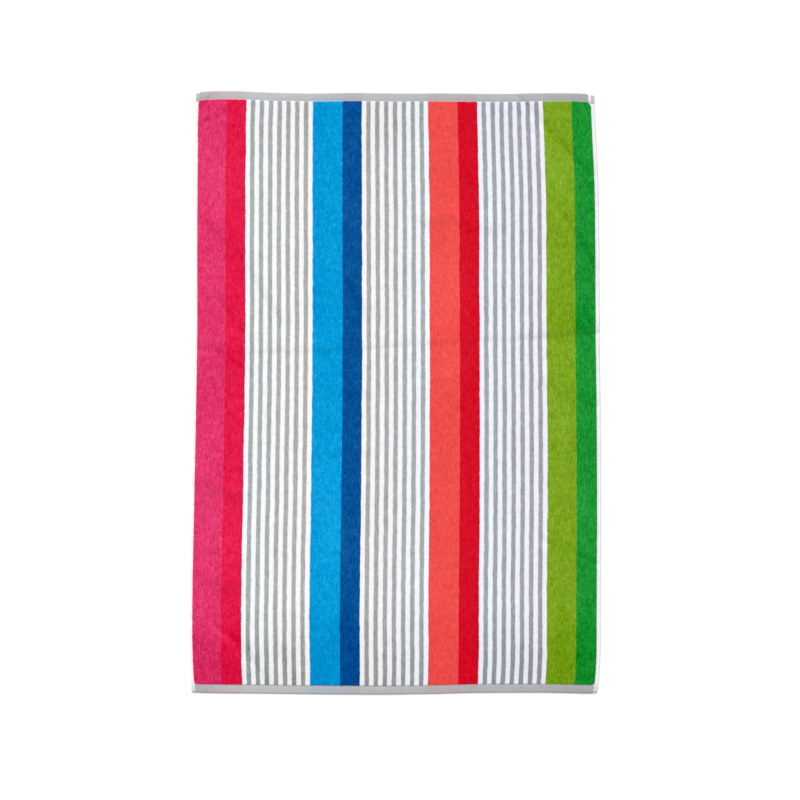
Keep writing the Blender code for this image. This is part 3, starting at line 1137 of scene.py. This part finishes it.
def hem_stitches(thread):
    """The sewing along the inner edge of every hem, one bead of thread for each stitch."""
    size = (STITCH_LENGTH, THREAD_THICKNESS, THREAD_THICKNESS)
    beads = []
    for number in range(int((TOWEL_WIDTH - 2 * STITCH_START) / STITCH_PITCH)):
        across = STITCH_START + STITCH_PITCH * (number + 0.5)
        for along in (END_SEAM, TOWEL_LENGTH - END_SEAM):
            beads.append(((across, along), SEAM_HEIGHT, size, STITCH_SLANT))
    for number in range(int((TOWEL_LENGTH - STITCH_START) / STITCH_PITCH)):
        along = STITCH_START / 2 + STITCH_PITCH * (number + 0.5)
        height = SEAM_HEIGHT * corner_bulk(along)
        for across in (LEFT_HEM - SEAM_INSIDE_EDGE, TOWEL_WIDTH - RIGHT_HEM + SEAM_INSIDE_EDGE):
            beads.append(((across, along), height, size, math.pi / 2 + STITCH_SLANT))
    shape = beaded_shape(beads, STITCH_FACETS)
    return make_piece("hem_stitches", shape, None, [thread])


def make_floor():
    """A plain pale floor, just under the cloth."""
    ground = bmesh.new()
    bmesh.ops.create_grid(ground, x_segments=1, y_segments=1, size=FLOOR_SIZE / 2)
    bmesh.ops.translate(ground, verts=ground.verts, vec=(0.0, 0.0, -FLOOR_GAP))
    mesh = bpy.data.meshes.new("floor")
    ground.to_mesh(mesh)
    ground.free()
    mesh.materials.append(pale_floor())
    floor = bpy.data.objects.new("floor", mesh)
    bpy.context.scene.collection.objects.link(floor)
    return floor


def light_the_scene():
    """Soft white light from all round, brighter near the horizon, and a key light from past the top end."""
    world = bpy.data.worlds.new("white studio")
    world.use_nodes = True
    nodes = world.node_tree.nodes
    background = nodes["Background"]
    background.inputs["Color"].default_value = (1.0, 1.0, 1.0, 1.0)
    direction = nodes.new("ShaderNodeTexCoord")
    parts = nodes.new("ShaderNodeSeparateXYZ")
    strength = nodes.new("ShaderNodeMapRange")
    strength.inputs["From Min"].default_value = HORIZON_TOP[0]
    strength.inputs["From Max"].default_value = HORIZON_TOP[1]
    strength.inputs["To Min"].default_value = HORIZON_LEVEL
    strength.inputs["To Max"].default_value = LIGHT_LEVEL * (1 - KEY_SHARE)
    world.node_tree.links.new(direction.outputs["Generated"], parts.inputs[0])
    world.node_tree.links.new(parts.outputs["Z"], strength.inputs["Value"])
    world.node_tree.links.new(strength.outputs["Result"], background.inputs["Strength"])
    bpy.context.scene.world = world
    lamp = bpy.data.lights.new("key light", "SUN")
    lamp.energy = LIGHT_LEVEL * KEY_SHARE * math.pi / math.cos(KEY_TILT)
    lamp.angle = KEY_SOFTNESS
    key = bpy.data.objects.new("key light", lamp)
    key.rotation_euler = (-KEY_TILT, 0.0, 0.0)
    bpy.context.scene.collection.objects.link(key)
    bpy.context.scene.view_settings.view_transform = "Standard"


def place_camera():
    """A camera straight above, square to the towel, at the photograph's framing."""
    lens = bpy.data.cameras.new("camera")
    lens.lens = CAMERA_LENS
    lens.sensor_width = CAMERA_SENSOR
    lens.clip_end = CAMERA_REACH
    camera = bpy.data.objects.new("camera", lens)
    camera.location = CAMERA_PLACE
    bpy.context.scene.collection.objects.link(camera)
    bpy.context.scene.camera = camera


def main():
    face = velour_face()
    flat_weave = end_hem_weave()
    white_weave = side_hem_weave()
    cloth = striped_cloth(face, looped_back())
    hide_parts("towel")
    trimmings = [
        pile_edge_tufts(face),
        end_hem("bottom_end_hem", False, flat_weave),
        end_hem("top_end_hem", True, flat_weave),
        side_hem("left_side_hem", False, LEFT_HEM, LEFT_HEM_FOLD, white_weave),
        side_hem("right_side_hem", True, RIGHT_HEM, RIGHT_HEM_FOLD, white_weave),
        hem_stitches(twisted_thread()),
    ]
    floor = make_floor()
    light_the_scene()
    place_camera()


main()
